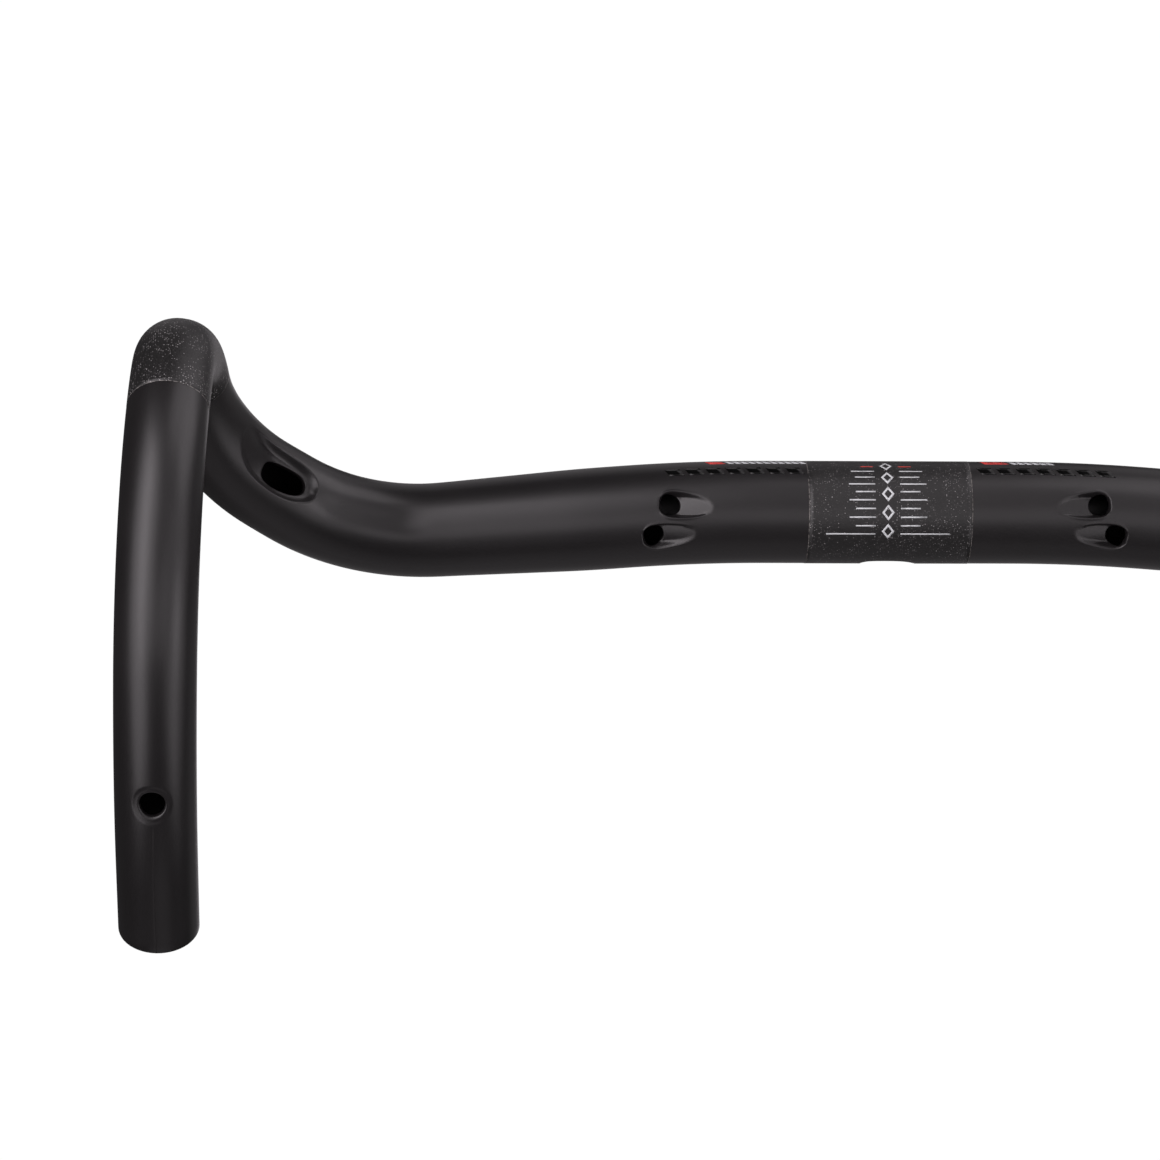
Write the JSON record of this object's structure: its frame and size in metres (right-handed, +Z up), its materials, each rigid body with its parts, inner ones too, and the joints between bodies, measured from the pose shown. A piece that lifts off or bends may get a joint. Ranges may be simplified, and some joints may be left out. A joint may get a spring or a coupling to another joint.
{
  "type": "road bicycle drop handlebar",
  "caption": "Carbon road drop handlebar with swept flats, compact hooks, flared drops, internal cable ports and a 31.8 mm clamp zone with an angle scale.",
  "frame": {"origin": "middle of the stem clamp zone, on the clamp axis", "axes": "+X to the rider's right along the clamp axis, +Y forward, +Z up with the ramps level"},
  "size_m": [0.4678, 0.1382, 0.1597],
  "materials": {
    "carbon_shell": "matte black clear coat over carbon laminate",
    "grit_coat": "gritty friction coat with fine sparkle",
    "inner_laminate": "raw laminate with satin resin",
    "gloss_print": "gloss black print",
    "pale_print": "pale grey print",
    "red_print": "red print"
  },
  "bodies": {
    "root": {"right_stem_half": "carbon_shell", "left_stem_half": "carbon_shell", "stem_reinforcement": "inner_laminate", "stem_grip_coat": "grit_coat", "scale_lines": "pale_print", "zero_lines": "red_print", "centre_marks": "pale_print", "right_backsweep": "carbon_shell", "left_backsweep": "carbon_shell", "right_flat": "carbon_shell", "left_flat": "carbon_shell", "right_corner": "carbon_shell", "left_corner": "carbon_shell", "right_ramp": "carbon_shell", "left_ramp": "carbon_shell", "right_shoulder_top": "carbon_shell", "left_shoulder_top": "carbon_shell", "right_lever_seat": "carbon_shell", "left_lever_seat": "carbon_shell", "right_shoulder_bottom": "carbon_shell", "left_shoulder_bottom": "carbon_shell", "right_hook": "carbon_shell", "left_hook": "carbon_shell", "right_drop": "carbon_shell", "left_drop": "carbon_shell", "right_drop_end": "carbon_shell", "left_drop_end": "carbon_shell", "right_lever_reinforcement": "inner_laminate", "left_lever_reinforcement": "inner_laminate", "right_lever_grip_coat": "grit_coat", "left_lever_grip_coat": "grit_coat", "right_gloss_marks": "gloss_print", "left_gloss_marks": "gloss_print", "right_red_block": "red_print", "left_red_block": "red_print", "right_pale_strip": "pale_print", "left_pale_strip": "pale_print"}
  },
  "joints": []
}
